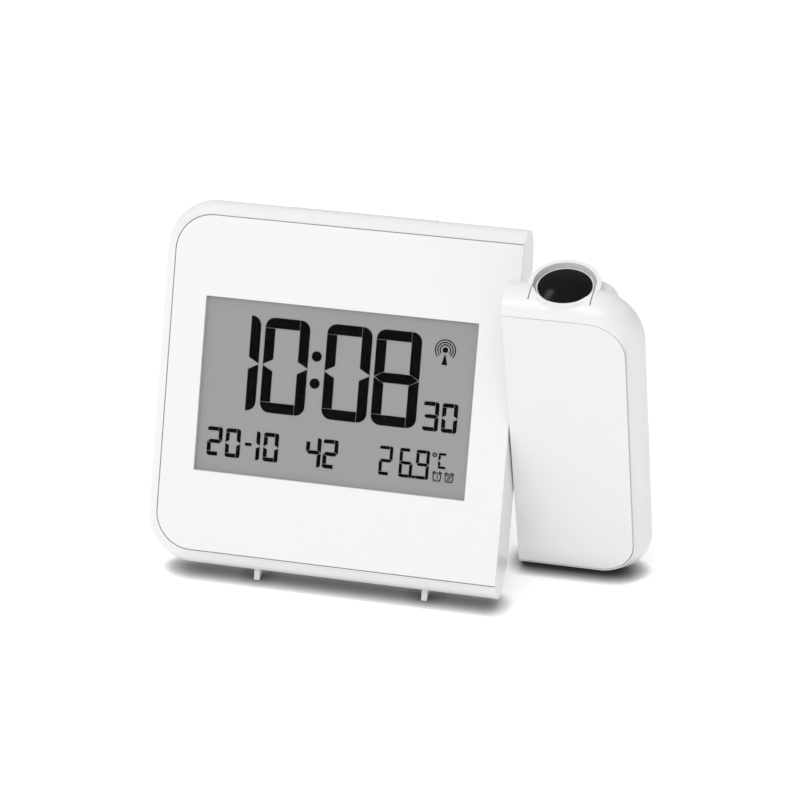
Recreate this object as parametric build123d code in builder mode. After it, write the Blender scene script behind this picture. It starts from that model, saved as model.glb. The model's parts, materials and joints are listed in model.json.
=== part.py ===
"""Projection alarm clock: a display slab and a projector arm that swivel against each other.

Both halves are modelled closed and upright, in one frame: X to the right, Y from the front
face to the back, Z up, with X = 0 on the cut between slab and arm.  At the end each half is
turned about the swivel axis into its standing pose, an open X seen from the side, and set on
the ground plane Z = 0.  All sizes are millimetres.
"""
from build123d import *
from math import atan2, cos, degrees, radians, sin, tan
import os

# ---------------------------------------------------------------- driving dimensions
# overall outline, measured at the widest section of the rounded edge
CLOCK_WIDTH = 109.2         # display slab, from its left edge to the cut
CLOCK_TOP = 52.7            # top edge above the display's reference line
FOOT_LINE = -56.05          # bottom edge of slab and arm, below that line
ARM_WIDTH = 39.45           # projector arm
ARM_TOP = 48.9              # top edge of the arm, below the slab's
SLAB_DEPTH = 15.4           # front face to back face of both halves
CORNER_RADIUS = 14.9        # outline corners, seen from the front
PARTING = 7.3               # depth of the widest section, where the shells part
SIDE_GAP = 0.4              # between slab and arm

# walls and clearances
WALL = 1.8                  # side and back walls
FRONT_WALL = 2.6            # front wall, counting the plate that is let into it
PLATE_THICK = 1.2           # decor plates of slab and arm
FLOAT = 0.1                 # a seated piece inside its pocket, each side
GROOVE = 0.25               # visible joint round the decor plates and buttons
RUN = 0.05                  # radial clearance of a turning fit

# swivel
SWIVEL_DEPTH = 9.2          # axis, behind the front face
SWIVEL_HEIGHT = -2.75       # axis, from the reference line
SWIVEL_OPEN = 35.9          # angle between the halves in the standing pose, degrees
SHAFT_RADIUS = 3.4
SHAFT_BORE = 2.1
BUSH_WALL = 0.9

# display
LCD_LEFT, LCD_RIGHT = -94.2, -11.26
LCD_LOW, LCD_HIGH = -27.45, 24.7
GLASS_BORDER = 1.6          # glass hidden behind the plate, each side
GLASS_THICK = 1.6
WINDOW_GAP = 0.1            # air between window and glass
LIGHT_THICK = 2.1
BOARD_DEPTH = 8.0           # front face of the main board
BOARD_THICK = 1.2

# projector
LENS_X = 16.4               # optical axis, from the cut
RIM_FRONT = 1.5             # front of the collar round the lens, behind the front face
COLLAR_TOP = 48.6
DOME_RADIUS = 7.65          # lens
RING_WIDTH = 1.05           # focus ring round the lens
COLLAR_WALL = 1.35
TUBE_WALL = 0.7
SLIT = 0.3
SLIT_FRONT = 3.5            # depth at which the two slits beside the front rim begin
HUMP_RIGHT = 31.3           # projector housing behind the arm
HUMP_LOW, HUMP_HIGH = 7.0, 46.2
HUMP_WALL = 1.4
HUMP_ROUND = 6.6            # rounding of its sides and top

# battery bay
CELL_RADIUS, CELL_LENGTH = 5.25, 44.5
CELL_LOW = -41.6
CELL_FIRST_X, CELL_PITCH = 10.6, 10.9
DOOR_LOW, DOOR_HIGH = -44.4, 4.6
DOOR_LEFT, DOOR_RIGHT = 4.4, 27.8
DOOR_THICK = 1.0
DOOR_BARREL = 1.1           # radius of the door's rounded hinge edge
DOOR_PIN = 0.5

# controls
BAR_LEFT, BAR_RIGHT = -72.3, -27.8
BAR_FRONT, BAR_BACK = 5.8, 11.4
BAR_PROUD = 0.12
BAR_TRAVEL = 0.8
BUTTON_RADIUS = 3.5
BUTTON_PITCH = 12.0
BUTTON_HEIGHT = 31.0
BUTTON_CENTRE_X = -57.0
BUTTON_TRAVEL = 0.4

# small hardware
SCREW_RADIUS, SCREW_HEAD_RADIUS, SCREW_HEAD = 1.1, 2.3, 1.5
FIN_THICK = 1.7
FIN_TIP = -59.45
FIN_XS = (-74.2, -22.5)
FIN_FLAT = 1.2              # depth of the flat that each fin stands on
ROD_RADIUS = 3.6            # antenna rod below the display
ROD_LEFT, ROD_LENGTH = -65.5, 48.0
ROD_DEPTH, ROD_HEIGHT = 7.4, -40.4
BALLAST_LEFT, BALLAST_RIGHT = 28.7, 35.3    # steel bars at the arm's right
BALLAST_FRONT, BALLAST_BACK = 3.9, 11.3
BALLAST_LENGTH = 27.0
BALLAST_LOWS = (-33.5, 5.6)

# rounded edge of the halves: share of the way from the front face to the parting line (0 to 1)
# and on to the back face (1 to 2), then how far the section stands in from the widest outline
# at the sides, at the top, at the arm's top and at the bottom
EDGE = (
    (0.0, 4.0, 4.05, 4.55, 4.2),
    (0.52, 1.45, 1.2, 0.45, 1.0),
    (1.0, 0.0, 0.0, 0.0, 0.1),
    (1.383, 1.0, 0.9, 0.5, 2.3),
    (1.741, 3.9, 3.6, 3.3, 6.8),
    (2.0, 9.6, 9.6, 9.8, 11.4),
)
RIM_LEFT, RIM_TOP, RIM_LOW = 4.7, 4.2, 4.65     # white rim round the decor plates
ARM_RIM_RIGHT, ARM_RIM_TOP = 4.35, 4.8
PLATE_RADIUS = 10.9

# ---------------------------------------------------------------- values that follow
arm_left = SIDE_GAP
arm_right = SIDE_GAP + ARM_WIDTH
plate_left, plate_top, plate_low = RIM_LEFT - CLOCK_WIDTH, CLOCK_TOP - RIM_TOP, FOOT_LINE + RIM_LOW
arm_plate_right, arm_plate_top = arm_right - ARM_RIM_RIGHT, ARM_TOP - ARM_RIM_TOP
back_inside = SLAB_DEPTH - WALL
lcd_x = (LCD_LEFT + LCD_RIGHT) / 2
lcd_z = (LCD_LOW + LCD_HIGH) / 2
lcd_width = LCD_RIGHT - LCD_LEFT
lcd_height = LCD_HIGH - LCD_LOW
glass_width = lcd_width + 2 * GLASS_BORDER
glass_height = lcd_height + 2 * GLASS_BORDER
glass_back = PLATE_THICK + GLASS_THICK
light_back = glass_back + LIGHT_THICK
board_back = BOARD_DEPTH + BOARD_THICK
bush_radius = SHAFT_RADIUS + RUN + BUSH_WALL
swivel_room = back_inside - SWIVEL_DEPTH - 0.15
washer_radius = min(bush_radius, swivel_room + 0.1)
ring_low = COLLAR_TOP - 4.3
lens_seat = COLLAR_TOP - 2.7
collar_inner = DOME_RADIUS + 0.15 + RING_WIDTH + 0.15
collar_outer = collar_inner + COLLAR_WALL
tube_outer = collar_inner - 1.0
tube_bore = tube_outer - TUBE_WALL
lens_depth = RIM_FRONT + collar_outer
hump_left = LENS_X - collar_outer + 0.15
hump_depth = lens_depth + tube_outer + HUMP_WALL + FLOAT
screw_left, screw_top = 14.2 - CLOCK_WIDTH, CLOCK_TOP - 15.7
screw_points = [(screw_left, screw_top), (screw_left, -36.0), (-13.0, screw_top), (-13.0, -38.0)]
arm_screw_points = [(arm_right - 7.85, -38.0), (arm_right - 7.85, 1.0)]
screw_seat = SLAB_DEPTH - 2.4
post_back = screw_seat - 1.5
button_xs = [BUTTON_CENTRE_X + (i - 2.5) * BUTTON_PITCH for i in range(6)]
button_inside = back_inside - 0.75
cell_xs = [CELL_FIRST_X, CELL_FIRST_X + CELL_PITCH]
cell_depth = FRONT_WALL + CELL_RADIUS + 0.15
door_axis_depth, door_axis_height = SLAB_DEPTH - DOOR_BARREL, DOOR_LOW + DOOR_BARREL

# Lean of the slab at which its fin tips and the arm's bottom edge are level: both points are
# taken from the swivel axis, the arm's turned by the angle between the halves.
fin_y, fin_z = PARTING - SWIVEL_DEPTH, FIN_TIP - SWIVEL_HEIGHT
edge_y, edge_z = PARTING - SWIVEL_DEPTH, FOOT_LINE - SWIVEL_HEIGHT
turn = radians(SWIVEL_OPEN)
level_y = edge_y * cos(turn) - edge_z * sin(turn)
level_z = edge_y * sin(turn) + edge_z * cos(turn)
lean = degrees(atan2(level_z - fin_z, level_y - fin_y))
ground = fin_z * cos(radians(lean)) - fin_y * sin(radians(lean))


def front_plane(depth):
    """Plane facing the viewer at a depth, with X to the right and Z up."""
    return Plane.XZ.offset(-depth)


def side_plane(x):
    """Plane across the width at x, with depth as its first axis and Z as its second."""
    return Plane.YZ.offset(x)


def level(z, x=0.0, y=0.0):
    """Horizontal plane at a height, with its origin over a point."""
    return Plane((x, y, z))


def lens_slab(left, right, top, top_column, front=0.0, back=0.0, side=0.0, mode=Mode.ADD):
    """Loft the rounded outlines of one half, or of its cavity when walls are given."""
    sections = []
    for row in EDGE:
        depth = row[0] * PARTING if row[0] < 1 else PARTING + (row[0] - 1) * (SLAB_DEPTH - PARTING)
        depth = front + depth * (SLAB_DEPTH - front - back) / SLAB_DEPTH
        low = FOOT_LINE + row[4] + side
        high = top - row[top_column] - side
        x_min = left + row[1] + side
        x_max = right - row[1] - side
        with BuildSketch(front_plane(depth)) as section:
            with Locations(((x_min + x_max) / 2, (low + high) / 2)):
                RectangleRounded(x_max - x_min, high - low, CORNER_RADIUS - row[1] - side / 2)
        sections.append(section.sketch)
    loft(sections, mode=mode)


def block(x_range, y_range, z_range, mode=Mode.ADD):
    """Box between three pairs of limits."""
    (x0, x1), (y0, y1), (z0, z1) = x_range, y_range, z_range
    with BuildSketch(level(z0, (x0 + x1) / 2, (y0 + y1) / 2)) as base:
        Rectangle(x1 - x0, y1 - y0)
    extrude(base.sketch, amount=z1 - z0, mode=mode)


def post(radius, x, z, y_range, mode=Mode.ADD):
    """Cylinder that runs from front to back."""
    with BuildSketch(front_plane(y_range[1])) as base:
        with Locations((x, z)):
            Circle(radius)
    extrude(base.sketch, amount=y_range[1] - y_range[0], mode=mode)


def upright(radius, x, y, z_range, mode=Mode.ADD):
    """Cylinder that stands up."""
    with BuildSketch(level(z_range[0], x, y)) as base:
        Circle(radius)
    extrude(base.sketch, amount=z_range[1] - z_range[0], mode=mode)


def across(radius, y, z, x_range, mode=Mode.ADD):
    """Cylinder that runs from left to right."""
    with BuildSketch(side_plane(x_range[0])) as base:
        with Locations((y, z)):
            Circle(radius)
    extrude(base.sketch, amount=x_range[1] - x_range[0], mode=mode)


# ================================================================ display slab
# the slab and its cavity run on past the cut, so that only the left corners are rounded
RUN_ON = 40.0

with BuildPart() as clock_cavity:
    lens_slab(-CLOCK_WIDTH, RUN_ON, CLOCK_TOP, 2, front=FRONT_WALL, back=WALL, side=WALL)
    block((-WALL, 2 * RUN_ON), (-5, 25), (-80, 80), mode=Mode.SUBTRACT)

with BuildPart() as clock_shell:
    lens_slab(-CLOCK_WIDTH, RUN_ON, CLOCK_TOP, 2)
    block((0, 2 * RUN_ON), (-5, 25), (-80, 80), mode=Mode.SUBTRACT)
    add(clock_cavity.part, mode=Mode.SUBTRACT)


def clock_openings():
    """Cut what both shells of the slab share: the bar's slot and the swivel's hole."""
    block((BAR_LEFT - GROOVE, BAR_RIGHT + GROOVE), (BAR_FRONT - GROOVE, BAR_BACK + GROOVE),
          (CLOCK_TOP - 8.5, CLOCK_TOP + 8), mode=Mode.SUBTRACT)
    across(bush_radius + FLOAT, SWIVEL_DEPTH, SWIVEL_HEIGHT, (-2 * WALL, 2.0), mode=Mode.SUBTRACT)


def plate_outline(left, right, top, low, radius, grow):
    """Decor plate's outline: square at the cut, rounded at the outer corners."""
    with Locations(((left + right) / 2, (top + low) / 2)):
        plate = Rectangle(right - left + 2 * grow, top - low + 2 * grow)
    outer_side = Axis.X if left > -1 else -Axis.X
    corners = plate.vertices().sort_by(outer_side)[-2:]
    fillet(corners, radius + grow)


with BuildPart() as front_housing:
    add(clock_shell.part)
    split(bisect_by=front_plane(PARTING), keep=Keep.TOP)
    clock_openings()
    # pocket for the plate, open at the cut
    with BuildSketch(front_plane(PLATE_THICK)):
        plate_outline(plate_left, GROOVE, plate_top, plate_low, PLATE_RADIUS, GROOVE)
    extrude(amount=2 * PLATE_THICK, mode=Mode.SUBTRACT)
    # opening for the display glass
    with BuildSketch(front_plane(FRONT_WALL + 1)):
        with Locations((lcd_x, lcd_z)):
            Rectangle(glass_width + 2 * FLOAT, glass_height + 2 * FLOAT)
    extrude(amount=FRONT_WALL + 2, mode=Mode.SUBTRACT)
    # screw posts
    for x, z in screw_points:
        post(2.9, x, z, (FRONT_WALL - 0.5, post_back))
        post(SCREW_RADIUS + RUN, x, z, (4.5, post_back + 1), mode=Mode.SUBTRACT)
    # saddles for the antenna rod
    for x in (ROD_LEFT + 4, ROD_LEFT + ROD_LENGTH - 4):
        block((x - 1.2, x + 1.2), (FRONT_WALL - 0.3, 7.0), (ROD_HEIGHT - 4.6, ROD_HEIGHT + 4.6))
        across(ROD_RADIUS + FLOAT, ROD_DEPTH, ROD_HEIGHT, (x - 2, x + 2), mode=Mode.SUBTRACT)
front_housing.part.label = "front_housing"

with BuildPart() as front_plate:
    with BuildSketch(front_plane(PLATE_THICK)):
        plate_outline(plate_left, 0.0, plate_top, plate_low, PLATE_RADIUS, 0.0)
        with Locations((lcd_x, lcd_z)):
            RectangleRounded(lcd_width, lcd_height, 0.3, mode=Mode.SUBTRACT)
    extrude(amount=PLATE_THICK)
    outer_front = front_plate.faces().sort_by(Axis.Y)[0].outer_wire().edges()
    chamfer(outer_front, 0.12)
front_plate.part.label = "front_plate"

with BuildPart() as display_window:
    with BuildSketch(front_plane(PLATE_THICK)):
        with Locations((lcd_x, lcd_z)):
            RectangleRounded(lcd_width - 2 * FLOAT, lcd_height - 2 * FLOAT, 0.3)
    # it ends short of the front face and of the glass
    extrude(amount=PLATE_THICK - 0.15)
    block((LCD_LEFT, LCD_RIGHT), (PLATE_THICK - WINDOW_GAP, PLATE_THICK + 1), (LCD_LOW, LCD_HIGH),
          mode=Mode.SUBTRACT)
display_window.part.label = "display_window"

with BuildPart() as lcd_glass:
    with BuildSketch(front_plane(glass_back)):
        with Locations((lcd_x, lcd_z)):
            Rectangle(glass_width, glass_height)
    extrude(amount=GLASS_THICK)
    # the front pane stops short of the contact ledge at the bottom
    block((lcd_x - glass_width / 2 - 1, lcd_x + glass_width / 2 + 1),
          (glass_back - GLASS_THICK / 2, glass_back + 1),
          (lcd_z - glass_height / 2 - 1, lcd_z - glass_height / 2 + 1.2), mode=Mode.SUBTRACT)
lcd_glass.part.label = "lcd_glass"

contact_low = lcd_z - glass_height / 2 + 0.1

with BuildPart() as contact_strip:
    block((lcd_x - 38, lcd_x + 38), (glass_back - GLASS_THICK / 2, BOARD_DEPTH),
          (contact_low, contact_low + 1.0))
contact_strip.part.label = "contact_strip"

light_low = contact_low + 2.2
light_high = lcd_z + glass_height / 2 - 0.3

with BuildPart() as backlight_panel:
    block((lcd_x - glass_width / 2 + 0.4, lcd_x + glass_width / 2 - 0.4),
          (glass_back, light_back), (light_low, light_high))
    block((lcd_x - glass_width / 2 + 0.3, lcd_x - glass_width / 2 + 2.4),
          (glass_back + 0.5, light_back), (lcd_z - 2.2, lcd_z + 2.2), mode=Mode.SUBTRACT)
backlight_panel.part.label = "backlight_panel"

with BuildPart() as backlight_lamp:
    block((lcd_x - glass_width / 2 + 0.5, lcd_x - glass_width / 2 + 2.3),
          (glass_back + 0.6, light_back), (lcd_z - 2.0, lcd_z + 2.0))
backlight_lamp.part.label = "backlight_lamp"

frame_wall = 1.3
frame_half_x = glass_width / 2 + FLOAT
frame_half_z = glass_height / 2 + FLOAT

with BuildPart() as display_frame:
    with BuildSketch(front_plane(BOARD_DEPTH)):
        with Locations((lcd_x, lcd_z)):
            Rectangle(2 * (frame_half_x + frame_wall), 2 * (frame_half_z + frame_wall))
            Rectangle(2 * frame_half_x, 2 * frame_half_z, mode=Mode.SUBTRACT)
    extrude(amount=BOARD_DEPTH - FRONT_WALL)
    # web behind the light panel, open in its middle and above the contact strip
    with BuildSketch(front_plane(light_back + 1.2)):
        with Locations((lcd_x, (light_low + lcd_z + frame_half_z) / 2)):
            Rectangle(2 * frame_half_x, lcd_z + frame_half_z - light_low)
            Rectangle(2 * frame_half_x - 16, lcd_z + frame_half_z - light_low - 14,
                      mode=Mode.SUBTRACT)
    extrude(amount=1.2)
display_frame.part.label = "display_frame"

board_left, board_right = 7.2 - CLOCK_WIDTH, -9.2
board_low, board_high = contact_low - 3.9, CLOCK_TOP - 9.7

with BuildPart() as main_board:
    with BuildSketch(front_plane(board_back)):
        with Locations(((board_left + board_right) / 2, (board_low + board_high) / 2)):
            RectangleRounded(board_right - board_left, board_high - board_low, 2.0)
        with Locations(*[p for p in screw_points if p[1] > 0]):
            Circle(3.3, mode=Mode.SUBTRACT)
    extrude(amount=BOARD_THICK)
main_board.part.label = "main_board"

with BuildPart() as clock_chip:
    block((-62.0, -50.0), (board_back, board_back + 1.5), (2.0, 14.0))
    chamfer(clock_chip.edges().group_by(Axis.Y)[-1], 0.4)
clock_chip.part.label = "clock_chip"

with BuildPart() as quartz_crystal:
    across(1.5, board_back + 1.5, 8.0, (-44.0, -36.0))
    fillet(quartz_crystal.edges().group_by(Axis.X)[-1], 0.6)
quartz_crystal.part.label = "quartz_crystal"

with BuildPart() as antenna_rod:
    across(ROD_RADIUS, ROD_DEPTH, ROD_HEIGHT, (ROD_LEFT, ROD_LEFT + ROD_LENGTH))
antenna_rod.part.label = "antenna_rod"

with BuildPart() as antenna_coil:
    coil_left = ROD_LEFT + ROD_LENGTH / 2 - 11
    for x0, x1, proud in ((0, 1, 1.1), (1, 21, 0.8), (21, 22, 1.1)):
        across(ROD_RADIUS + proud, ROD_DEPTH, ROD_HEIGHT, (coil_left + x0, coil_left + x1))
    across(ROD_RADIUS + RUN, ROD_DEPTH, ROD_HEIGHT, (coil_left - 1, coil_left + 23),
           mode=Mode.SUBTRACT)
antenna_coil.part.label = "antenna_coil"

SOUNDER_X, SOUNDER_Z, SOUNDER_RADIUS = -82.0, 4.0, 9.0

with BuildPart() as sounder:
    post(SOUNDER_RADIUS, SOUNDER_X, SOUNDER_Z, (back_inside - 0.55, back_inside - 0.15))
    post(SOUNDER_RADIUS - 2.5, SOUNDER_X, SOUNDER_Z, (back_inside - 0.95, back_inside - 0.55))
sounder.part.label = "sounder"

SENSOR_X, SENSOR_Z = -97.0, -27.0

with BuildPart() as temperature_sensor:
    post(1.5, SENSOR_X, SENSOR_Z, (board_back + 1.0, board_back + 3.0))
    for dx in (-0.8, 0.8):
        post(0.25, SENSOR_X + dx, SENSOR_Z, (board_back, board_back + 1.2))
temperature_sensor.part.label = "temperature_sensor"

JACK_X, JACK_Z = -91.0, -16.0

with BuildPart() as rear_housing:
    add(clock_shell.part)
    split(bisect_by=front_plane(PARTING), keep=Keep.BOTTOM)
    clock_openings()
    # fins that the slab stands on
    for x in FIN_XS:
        with BuildSketch(side_plane(x - FIN_THICK / 2)):
            with BuildLine():
                Polyline((PARTING, FOOT_LINE + 1.2), (PARTING, FIN_TIP),
                         (PARTING + FIN_FLAT, FIN_TIP + FIN_FLAT * tan(radians(lean))),
                         (11.4, -55.9), (12.6, -49.6), (9.6, -52.4), close=True)
            make_face()
        extrude(amount=FIN_THICK)
    # screw sockets
    for x, z in screw_points:
        post(3.4, x, z, (post_back + FLOAT, back_inside + 0.5))
        post(SCREW_HEAD_RADIUS + 0.3, x, z, (screw_seat, SLAB_DEPTH + 1), mode=Mode.SUBTRACT)
        post(SCREW_RADIUS + 0.2, x, z, (post_back - 1, screw_seat + 1), mode=Mode.SUBTRACT)
    # button holes
    for x in button_xs:
        post(BUTTON_RADIUS + GROOVE, x, BUTTON_HEIGHT, (back_inside - 1, SLAB_DEPTH + 1),
             mode=Mode.SUBTRACT)
    # sounder's holder and its sound slots
    post(SOUNDER_RADIUS + 1.3, SOUNDER_X, SOUNDER_Z, (back_inside - 1.3, back_inside + 0.3))
    post(SOUNDER_RADIUS + FLOAT, SOUNDER_X, SOUNDER_Z, (back_inside - 2, back_inside),
         mode=Mode.SUBTRACT)
    with BuildSketch(front_plane(SLAB_DEPTH + 1)):
        with GridLocations(0, 2.6, 1, 5):
            with Locations((SOUNDER_X, SOUNDER_Z)):
                SlotOverall(12.0, 1.3)
    extrude(amount=WALL + 2, mode=Mode.SUBTRACT)
    # air slots beside the temperature sensor
    with BuildSketch(front_plane(SLAB_DEPTH + 1)):
        with GridLocations(2.6, 0, 4, 1):
            with Locations((SENSOR_X + 14, SENSOR_Z - 8)):
                SlotOverall(8.0, 1.3, rotation=90)
    extrude(amount=WALL + 2, mode=Mode.SUBTRACT)
    # power socket's hole
    post(4.2, JACK_X, JACK_Z, (back_inside - 1, SLAB_DEPTH + 1), mode=Mode.SUBTRACT)
rear_housing.part.label = "rear_housing"

with BuildPart() as dc_socket:
    block((JACK_X - 4.5, JACK_X + 4.5), (board_back, back_inside - 0.1),
          (JACK_Z - 4.5, JACK_Z + 4.5))
    post(4.1, JACK_X, JACK_Z, (back_inside - 0.2, SLAB_DEPTH - 0.2))
    post(2.8, JACK_X, JACK_Z, (board_back + 1.0, SLAB_DEPTH), mode=Mode.SUBTRACT)
    post(1.0, JACK_X, JACK_Z, (board_back + 0.9, SLAB_DEPTH - 1.0))
dc_socket.part.label = "dc_socket"

with BuildPart() as housing_screws:
    for x, z in screw_points:
        post(SCREW_RADIUS, x, z, (5.0, screw_seat + 0.1))
        post(SCREW_HEAD_RADIUS, x, z, (screw_seat, screw_seat + SCREW_HEAD))
        with BuildSketch(front_plane(screw_seat + SCREW_HEAD)):
            with Locations((x, z)):
                Rectangle(2.6, 0.6)
                Rectangle(0.6, 2.6)
        extrude(amount=0.7, mode=Mode.SUBTRACT)
housing_screws.part.label = "housing_screws"

# ---------------------------------------------------------------- controls of the slab
tab_top = CLOCK_TOP - 3.75
pusher_low = CLOCK_TOP - 8.1

with BuildPart() as snooze_bar:
    lens_slab(-CLOCK_WIDTH, RUN_ON, CLOCK_TOP + BAR_PROUD, 2)
    block((BAR_LEFT, BAR_RIGHT), (BAR_FRONT, BAR_BACK), (tab_top - 0.6, CLOCK_TOP + 8),
          mode=Mode.INTERSECT)
    # tabs that hold the bar under the shells, and its pusher
    block((BAR_LEFT - 1.6, BAR_RIGHT + 1.6), (BAR_FRONT, 10.0), (tab_top - 1.2, tab_top - 0.2))
    block((-51.5, -48.5), (9.4, 11.2), (pusher_low, tab_top - 0.4))
snooze_bar.part.label = "snooze_bar"

with BuildPart() as snooze_switch:
    block((-53.0, -47.0), (board_back, board_back + 3.4), (board_high - 5.0, board_high - 0.2))
    block((-51.4, -48.6), (board_back + 0.4, board_back + 1.9),
          (board_high - 0.2, pusher_low - BAR_TRAVEL - 0.1))
snooze_switch.part.label = "snooze_switch"

with BuildPart() as key_switches:
    for x in button_xs:
        block((x - 3.0, x + 3.0), (board_back, board_back + 2.0),
              (BUTTON_HEIGHT - 3.0, BUTTON_HEIGHT + 3.0))
        post(1.5, x, BUTTON_HEIGHT, (board_back + 1.9, button_inside - BUTTON_TRAVEL - 0.05))
key_switches.part.label = "key_switches"

button_names = ["alarm_button", "set_button", "plus_button", "minus_button",
                "signal_button", "projection_button"]
buttons = []
for name, x in zip(button_names, button_xs):
    with BuildPart() as button:
        post(BUTTON_RADIUS, x, BUTTON_HEIGHT, (back_inside - 0.6, SLAB_DEPTH + 0.7))
        fillet(button.edges().group_by(Axis.Y)[-1], 0.35)
        post(BUTTON_RADIUS + 1.1, x, BUTTON_HEIGHT, (button_inside, back_inside - 0.15))
    button.part.label = name
    buttons.append(button)

# ---------------------------------------------------------------- swivel
with BuildPart() as hinge_bush:
    across(bush_radius, SWIVEL_DEPTH, SWIVEL_HEIGHT, (-4.9, -0.1))
    across(bush_radius + 1.9, SWIVEL_DEPTH, SWIVEL_HEIGHT, (-WALL - 1.2, -WALL))
    block((-10, 10), (SWIVEL_DEPTH - swivel_room, SWIVEL_DEPTH + swivel_room), (-30, 30),
          mode=Mode.INTERSECT)
    across(SHAFT_RADIUS + RUN, SWIVEL_DEPTH, SWIVEL_HEIGHT, (-6, 1), mode=Mode.SUBTRACT)
hinge_bush.part.label = "hinge_bush"

with BuildPart() as hinge_washer:
    across(washer_radius, SWIVEL_DEPTH, SWIVEL_HEIGHT, (-5.45, -4.95))
    across(SHAFT_RADIUS + 0.1, SWIVEL_DEPTH, SWIVEL_HEIGHT, (-6, -4), mode=Mode.SUBTRACT)
hinge_washer.part.label = "hinge_washer"

with BuildPart() as hinge_clip:
    across(washer_radius - 0.1, SWIVEL_DEPTH, SWIVEL_HEIGHT, (-6.15, -5.5))
    across(SHAFT_RADIUS - 0.45, SWIVEL_DEPTH, SWIVEL_HEIGHT, (-7, -5), mode=Mode.SUBTRACT)
    block((-7, -5), (SWIVEL_DEPTH - 2.2, SWIVEL_DEPTH + 2.2),
          (SWIVEL_HEIGHT - 9.0, SWIVEL_HEIGHT - 0.5), mode=Mode.SUBTRACT)
hinge_clip.part.label = "hinge_clip"

with BuildPart() as hinge_shaft:
    across(SHAFT_RADIUS, SWIVEL_DEPTH, SWIVEL_HEIGHT, (-7.0, arm_left + WALL + 1.0))
    across(washer_radius + 1.9, SWIVEL_DEPTH, SWIVEL_HEIGHT,
           (arm_left + WALL, arm_left + WALL + 1.5))
    block((-10, 20), (SWIVEL_DEPTH - swivel_room, SWIVEL_DEPTH + swivel_room), (-30, 30),
          mode=Mode.INTERSECT)
    across(SHAFT_BORE, SWIVEL_DEPTH, SWIVEL_HEIGHT, (-8, 10), mode=Mode.SUBTRACT)
    # groove of the clip
    with BuildSketch(side_plane(-6.2)):
        with Locations((SWIVEL_DEPTH, SWIVEL_HEIGHT)):
            Circle(SHAFT_RADIUS + 1)
            Circle(SHAFT_RADIUS - 0.5, mode=Mode.SUBTRACT)
    extrude(amount=0.75, mode=Mode.SUBTRACT)
hinge_shaft.part.label = "hinge_shaft"

with BuildPart() as arm_lead:
    across(SHAFT_BORE - 0.2, SWIVEL_DEPTH, SWIVEL_HEIGHT, (-7.8, 5.2))
arm_lead.part.label = "arm_lead"

# ================================================================ projector arm
with BuildPart() as arm_cavity:
    lens_slab(-RUN_ON, arm_right, ARM_TOP, 3, front=FRONT_WALL, back=WALL, side=WALL)
    block((-2 * RUN_ON, arm_left + WALL), (-5, 40), (-80, 80), mode=Mode.SUBTRACT)


def projector_housing(inset):
    """Housing on the arm's back, rounded at the sides and top and sloping in at the bottom."""
    with BuildSketch(side_plane(hump_left + inset)) as outline:
        with BuildLine():
            Polyline((PARTING + 1, HUMP_LOW + inset), (SLAB_DEPTH - 0.5, HUMP_LOW + inset),
                     (hump_depth - inset, HUMP_LOW + 11 + inset), (hump_depth - inset, HUMP_HIGH - inset),
                     (PARTING + 1, HUMP_HIGH - inset), close=True)
        make_face()
    body = extrude(outline.sketch, amount=HUMP_RIGHT - hump_left - 2 * inset)
    rear_edges = body.faces().sort_by(Axis.Y)[-1].edges().filter_by(Axis.Z)
    top_edges = body.faces().sort_by(Axis.Z)[-1].edges()
    fillet(rear_edges + top_edges.filter_by(Axis.Y) + top_edges.sort_by(Axis.Y)[-1:],
           HUMP_ROUND - inset)


with BuildPart() as hump:
    projector_housing(0.0)

with BuildPart() as hump_cavity:
    projector_housing(HUMP_WALL)
    # the ledge that carries the focus ring closes it
    block((-RUN_ON, 2 * RUN_ON), (-5, 40), (ring_low - 1.7, 2 * COLLAR_TOP), mode=Mode.SUBTRACT)

with BuildPart() as arm_shell:
    lens_slab(-RUN_ON, arm_right, ARM_TOP, 3)
    block((-2 * RUN_ON, arm_left), (-5, 40), (-80, 80), mode=Mode.SUBTRACT)
    add(hump.part)
    # the collar's foot runs out on the housing's rounded top
    with BuildSketch(level(ring_low - 5.7, LENS_X, lens_depth)) as foot_low:
        Circle(tube_outer + 0.5)
    with BuildSketch(level(ring_low - 1.7, LENS_X, lens_depth)) as foot_high:
        Circle(collar_outer)
    loft([foot_low.sketch, foot_high.sketch])
    add(arm_cavity.part, mode=Mode.SUBTRACT)
    add(hump_cavity.part, mode=Mode.SUBTRACT)
    # collar round the lens, with a ledge that carries the focus ring
    upright(collar_outer, LENS_X, lens_depth, (ring_low - 1.7, COLLAR_TOP))
    upright(collar_inner, LENS_X, lens_depth, (ring_low, 2 * COLLAR_TOP), mode=Mode.SUBTRACT)
    upright(tube_outer + FLOAT, LENS_X, lens_depth, (ring_low - 7, ring_low + 1),
            mode=Mode.SUBTRACT)
    # swivel's hole in the left wall
    across(SHAFT_RADIUS + FLOAT, SWIVEL_DEPTH, SWIVEL_HEIGHT, (-2, arm_left + 2 * WALL),
           mode=Mode.SUBTRACT)

# the front shell keeps a tongue between two slits, which carries the front half of the rim
tongue_half = collar_inner - SLIT
tongue_low = ring_low - 2.0

with BuildPart() as tongue:
    add(arm_shell.part)
    block((LENS_X - tongue_half, LENS_X + tongue_half), (-1, lens_depth),
          (tongue_low, 2 * COLLAR_TOP), mode=Mode.INTERSECT)

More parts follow.
